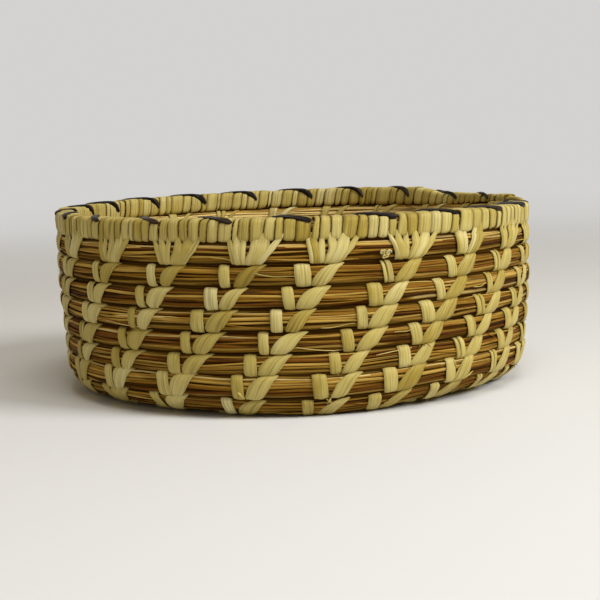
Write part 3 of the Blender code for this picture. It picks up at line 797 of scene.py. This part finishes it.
# the dark strand: from the inner face, over the top on a long slant, to a blunt end outside
lacing = {
    "angles": (182, 160, 135, 112, 90, 70, 52, 43, 35),
    "x": (-16.8, -15.2, -13.0, -10.4, -7.6, -4.9, -2.1, -0.6, 0.5),
    "width": (1.6, 2.6, 2.9, 2.8, 2.5, 2.7, 2.9, 2.7, 1.5),
    "place": -0.14, "rows": 20, "seed": 8, "lift": 0.52 * mm,
    "strip": {"thickness": 0.5 * mm, "crown": 0.5 * mm, "fullWidth": 2.0 * mm, "ridge": 0.15 * mm,
              "tilt": 0.1 * mm, "edge": 0.5},
}
lacingNumbers = np.arange(1, 23)
lacingHoles = (lacingNumbers + lacing["place"]) / spiral["stitches"]
lacingShift = stitchShift(lacingNumbers + columns["inLap"])

# the rim's wrapping: bands side by side, each one turn of the splint, drawn in at its lower end
wrapping = {
    "first": 0.001, "last": 1.005, "pitch": 4.1 * mm, "spread": 0.36, "closer": 0.3, "seed": 3, "rows": 26,
    "angles": (-104, -85, -65, -45, 200, 235, 262), "gaps": (3.4, 2.6, 1.4, 0.14, 0.14, 0.7, 2.2),
    "slitAngles": (-110, -90, -40, 10, 35, 60, 90), "slits": (0.6, 0.9, 0.45, 0.5, 1.1, 0.9, 0.1),
    "loops": {"x": ((-4.0, -1.0), (-7.2, -4.2), (-10.6, -7.4), (-13.8, -11.2)), "lean": (1.3, -1.1, 1.5, -0.8),
              "lift": (0.7, 1.0, 0.9, 1.2)},
    "plug": {"x": (-17.4, -17.2, -16.4, -14.6, -11.0, -5.6, -1.0, 0.6),
             "radius": (0.1, 0.9, 1.7, 2.3, 2.4, 2.2, 1.9, 1.4)},
    "lean": 0.45 * mm, "square": 0.1, "lift": 0.22 * mm, "groove": 0.5 * mm, "grooveWidth": 3.4 * mm,
    "strip": {"thickness": 0.42 * mm, "crown": 0.2 * mm, "fullWidth": 2.2 * mm, "ridge": 0.04 * mm,
              "tilt": 0.14 * mm, "edge": 0.75},
}


def wrapSurface(angle, size, lift):
    return onSection(angle, size, lift, wrapping["square"])


# Neighbouring bands share the line between them, which leans a little and opens into a notch below.
# The dark strand presses a slanting groove into them, and a slit runs down from its blunt end.
def makeWrapping():
    rng = np.random.default_rng(wrapping["seed"])
    span = coilLength(np.array([wrapping["first"], wrapping["last"]]))
    count = int((span[1] - span[0]) / wrapping["pitch"])
    share = rng.uniform(1 - wrapping["spread"], 1 + wrapping["spread"], count)
    around = rightOfFront(np.linspace(wrapping["first"], wrapping["last"], count))
    share = share * (1 - wrapping["closer"] * np.exp(-((around + 1.0) / 0.6) ** 2))
    lines = np.concatenate([[0], np.cumsum(share)]) / share.sum() * (span[1] - span[0]) + span[0]
    ends = coilLength(lacingHoles) + lacingShift
    nearest = np.abs(lines[:, None] - ends).argmin(0)
    lines[nearest] = ends + 0.8 * mm
    lines = np.sort(lines)
    slit = np.zeros((count + 1, 1))
    slit[nearest] = rng.uniform(0.5, 1.2, (len(ends), 1))
    middle = (lines[1:] + lines[:-1]) / 2
    fine = np.linspace(0, 1.2, 4000)
    holes = np.interp(middle, coilLength(fine), fine)
    knots = anglesOf(wrapping["angles"])
    angle = np.linspace(knots[0], knots[-1], wrapping["rows"])
    lean = (wrapping["lean"] + rng.normal(0, 0.3, (count + 1, 1)) * mm) * np.sin(np.clip(angle, -1.4, 1.6))
    wave = rng.normal(0, 0.05, (count + 1, wrapping["rows"])) * mm
    advance = np.clip((angle - math.pi / 2) / math.pi, 0, 1) * wrapping["pitch"] * 0.8
    line = lines[:, None] + lean + wave + advance
    gap = np.interp(angle, knots, wrapping["gaps"]) * rng.uniform(0.35, 1.8, (count + 1, 1))
    gap = (gap + slit * np.interp(angle, anglesOf(wrapping["slitAngles"]), wrapping["slits"])) * mm / 2
    x = np.stack([line[:-1] + gap[:-1], line[1:] - gap[1:]], -1) - middle[:, None, None]
    x[..., 1] = np.maximum(x[..., 1], x[..., 0] + 0.5 * mm)
    grooveX = np.interp(angle, anglesOf(lacing["angles"][::-1]), lacing["x"][::-1]) * mm
    apart = middle[:, None, None] - (ends[:, None] + grooveX)
    pressed = np.exp(-(apart / wrapping["grooveWidth"]) ** 2).max(1)
    pressed = pressed * smoothStep(angle, 0.3, 0.7) * (1 - smoothStep(angle, 2.7, 3.1))
    lift = wrapping["lift"] + rng.normal(0, 0.08, (count, 1)) * mm + wrapping["groove"] * (0.35 - pressed)
    tone = np.clip(rng.normal(0.48, 0.1, (count, 1)), 0.05, 0.62)
    # painted shade: the wraps darken on their lower side, towards the crevice under the rim
    crevice = np.clip((-np.sin(angle) - 0.6) / 0.4, 0, 1) * 0.8
    # four loose loops cover the thin end of the coil
    loops = wrapping["loops"]
    ends = np.array(loops["x"])[:, None] * mm + np.zeros((1, wrapping["rows"], 1))
    swing = np.array(loops["lean"])[:, None, None] * mm * np.sin(angle)[:, None]
    makeStrips("endLoops", np.zeros(len(ends)), ends + swing, angle[:, None], wrapping["strip"], splitLeaf,
               "pale_splint", ["rim_wrap"], lift=np.array(loops["lift"])[:, None] * mm, tone=0.5,
               surface=wrapSurface)
    plug = wrapping["plug"]
    turn = np.linspace(0, 2 * math.pi, 12, endpoint=False)
    radius = np.array(plug["radius"])[:, None] * mm
    laps = np.array(plug["x"])[:, None] * mm / (2 * math.pi * spiral["rimRadius"])
    inner = ringMesh("endPlug", coilPoint(laps, radius * np.cos(turn), radius * np.sin(turn))[None], 0.35, 0.15,
                     np.linspace(0, 8 * mm, 13), np.array(plug["x"])[None] * mm, splitLeaf)
    finishPiece(inner, "pale_splint", "rim_wrap")
    return makeStrips("rimWrapping", holes, x, angle[:, None], wrapping["strip"], splitLeaf, "pale_splint",
                      ["rim_wrap"], lift=lift, tone=tone, shade=crevice, surface=wrapSurface)


makeWrapping()


# One strip for each visible pass, lying in its groove. Its edges stand half its width off its
# middle line, square to the way it runs.
def makeLacing():
    rng = np.random.default_rng(lacing["seed"])
    count = len(lacingHoles)
    knots = anglesOf(lacing["angles"])[::-1]
    angle = np.linspace(knots[-1], knots[0], lacing["rows"])
    xMid = np.interp(angle, knots, lacing["x"][::-1]) * mm * rng.uniform(0.9, 1.1, (count, 1))
    xMid = xMid + lacingShift[:, None]
    half = np.interp(angle, knots, lacing["width"][::-1]) * mm * rng.uniform(0.85, 1.1, (count, 1)) / 2
    dx, dy = np.gradient(xMid, axis=1), np.gradient(angle) * section["height"]
    length = np.hypot(dx, dy)
    x = np.stack([xMid + half * dy / length, xMid - half * dy / length], -1)
    turn = half * dx / length / section["height"]
    tone = np.clip(rng.normal(0.5, 0.15, (count, 1)), 0, 1)
    nodes = [f"lacing_pass_{i}" for i in range(1, 19)]
    return makeStrips("rimLacing", lacingHoles, x, np.stack([angle - turn, angle + turn], -1), lacing["strip"],
                      darkLeaf, "dark_strand", nodes, lift=lacing["lift"], tone=tone, surface=wrapSurface)


makeLacing()
print("rim made")

# floor, backdrop and light
stage = {"floor": "#e2e3e4", "paper": "#d3d2d0", "paperFrom": 0.35, "paperTo": 1.1, "half": 1.6, "backAt": 0.9, "front": 1.7, "bend": 0.5, "top": 1.6}


# 1 for camera, glossy and transmission rays, which see the pale background, and 0 for what lights
def seenRays(tree):
    path = addNode(tree, "ShaderNodeLightPath")
    shiny = addNode(tree, "ShaderNodeMath",
                    {0: path.outputs["Is Glossy Ray"], 1: path.outputs["Is Transmission Ray"]}, operation="ADD")
    seen = addNode(tree, "ShaderNodeMath", {0: path.outputs["Is Camera Ray"], 1: shiny.outputs[0]},
                   operation="ADD", use_clamp=True)
    return seen.outputs[0]


# a floor that turns up into a backdrop through a quarter circle, as one sheet
def makeStage():
    turn = np.linspace(0, math.pi / 2, 24)
    y = np.concatenate([[-stage["front"]], stage["backAt"] + stage["bend"] * np.sin(turn), [stage["backAt"] + stage["bend"]]])
    z = np.concatenate([[0.0], stage["bend"] * (1 - np.cos(turn)), [stage["top"]]])
    x = np.array([-stage["half"], stage["half"]]) * 1.5
    grid = np.stack(np.broadcast_arrays(x[None, :], y[:, None], z[:, None]), -1)
    index = np.arange(grid.shape[0] * 2).reshape(-1, 2)
    faces = np.stack([index[:-1, 0], index[:-1, 1], index[1:, 1], index[1:, 0]], -1)
    mesh = bpy.data.meshes.new("studioSweep")
    mesh.from_pydata(grid.reshape(-1, 3).tolist(), [], faces.tolist())
    mesh.shade_smooth()
    material = bpy.data.materials.new("palePaper")
    material.use_nodes = True
    shader = material.node_tree.nodes["Principled BSDF"]
    shader.inputs["Base Color"].default_value = linearColour(stage["floor"])
    shader.inputs["Roughness"].default_value = 0.9
    shader.inputs["Specular IOR Level"].default_value = 0.1
    # away from the basket the camera sees the paper evenly pale, which lights nothing
    place = addNode(material.node_tree, "ShaderNodeTexCoord")
    away = addNode(material.node_tree, "ShaderNodeVectorMath", {0: place.outputs["Object"]}, operation="LENGTH")
    far = addNode(material.node_tree, "ShaderNodeMapRange", {
        "Value": away.outputs["Value"], "From Min": stage["paperFrom"], "From Max": stage["paperTo"],
    })
    share = addNode(material.node_tree, "ShaderNodeMath",
                    {0: far.outputs["Result"], 1: seenRays(material.node_tree)}, operation="MULTIPLY")
    glow = addNode(material.node_tree, "ShaderNodeEmission", {"Color": linearColour(stage["paper"])})
    both = addNode(material.node_tree, "ShaderNodeMixShader",
                   {0: share.outputs[0], 1: shader.outputs[0], 2: glow.outputs[0]})
    material.node_tree.links.new(both.outputs[0], material.node_tree.nodes["Material Output"].inputs["Surface"])
    mesh.materials.append(material)
    sweep = bpy.data.objects.new("studioSweep", mesh)
    bpy.context.scene.collection.objects.link(sweep)


# a soft square lamp aimed at the basket
def softLamp(name, place, size, power):
    data = bpy.data.lights.new(name, "AREA")
    data.shape = "SQUARE"
    data.size = size
    data.energy = power
    lamp = bpy.data.objects.new(name, data)
    lamp.location = place
    lamp.rotation_euler = (Vector((0, 0, 0.04)) - Vector(place)).to_track_quat("-Z", "Y").to_euler()
    bpy.context.scene.collection.objects.link(lamp)


makeStage()
softLamp("keyLamp", (0.95, -0.55, 0.8), 0.5, 13.6)
softLamp("fillLamp", (-0.7, -0.9, 0.6), 0.9, 0.6)
softLamp("topLamp", (0.15, -0.6, 1.2), 0.7, 6.8)

world = bpy.data.worlds.new("studio")
world.use_nodes = True
world.node_tree.nodes["Background"].inputs["Color"].default_value = linearColour("#f1d8a4")
world.node_tree.nodes["Background"].inputs["Strength"].default_value = 0.25
paper = addNode(world.node_tree, "ShaderNodeBackground", {"Color": linearColour(stage["paper"]), "Strength": 1.0})
seen = addNode(world.node_tree, "ShaderNodeMixShader", {
    0: seenRays(world.node_tree), 1: world.node_tree.nodes["Background"].outputs[0], 2: paper.outputs[0],
})
world.node_tree.links.new(seen.outputs[0], world.node_tree.nodes["World Output"].inputs["Surface"])
bpy.context.scene.world = world

# the photograph's view: slightly above the rim, rolled by two degrees, with its centre 5 px to the left
view = {"from": (0.0, -0.62, 0.1085), "at": (0.0, 0.0, 0.0330), "focalPx": 1434.0, "framePx": 600.0,
        "centrePx": 295.0, "roll": -0.033, "sensorMm": 36.0}


def makeCamera():
    place, target = Vector(view["from"]), Vector(view["at"])
    forward = (target - place).normalized()
    right = forward.cross(Vector((0, 0, 1))).normalized()
    up = right.cross(forward)
    rolledRight = right * math.cos(view["roll"]) + up * math.sin(view["roll"])
    rolledUp = up * math.cos(view["roll"]) - right * math.sin(view["roll"])
    data = bpy.data.cameras.new("photoView")
    data.sensor_width = view["sensorMm"]
    data.lens = view["focalPx"] / view["framePx"] * view["sensorMm"]
    data.shift_x = (view["framePx"] / 2 - view["centrePx"]) / view["framePx"]
    data.clip_start = 0.01
    camera = bpy.data.objects.new("photoView", data)
    turn = Matrix((rolledRight, rolledUp, -forward)).transposed()
    camera.matrix_world = Matrix.Translation(place) @ turn.to_4x4()
    bpy.context.scene.collection.objects.link(camera)
    bpy.context.scene.camera = camera


makeCamera()
bpy.context.scene.view_settings.view_transform = "Standard"
print("stage, lamps and camera made")
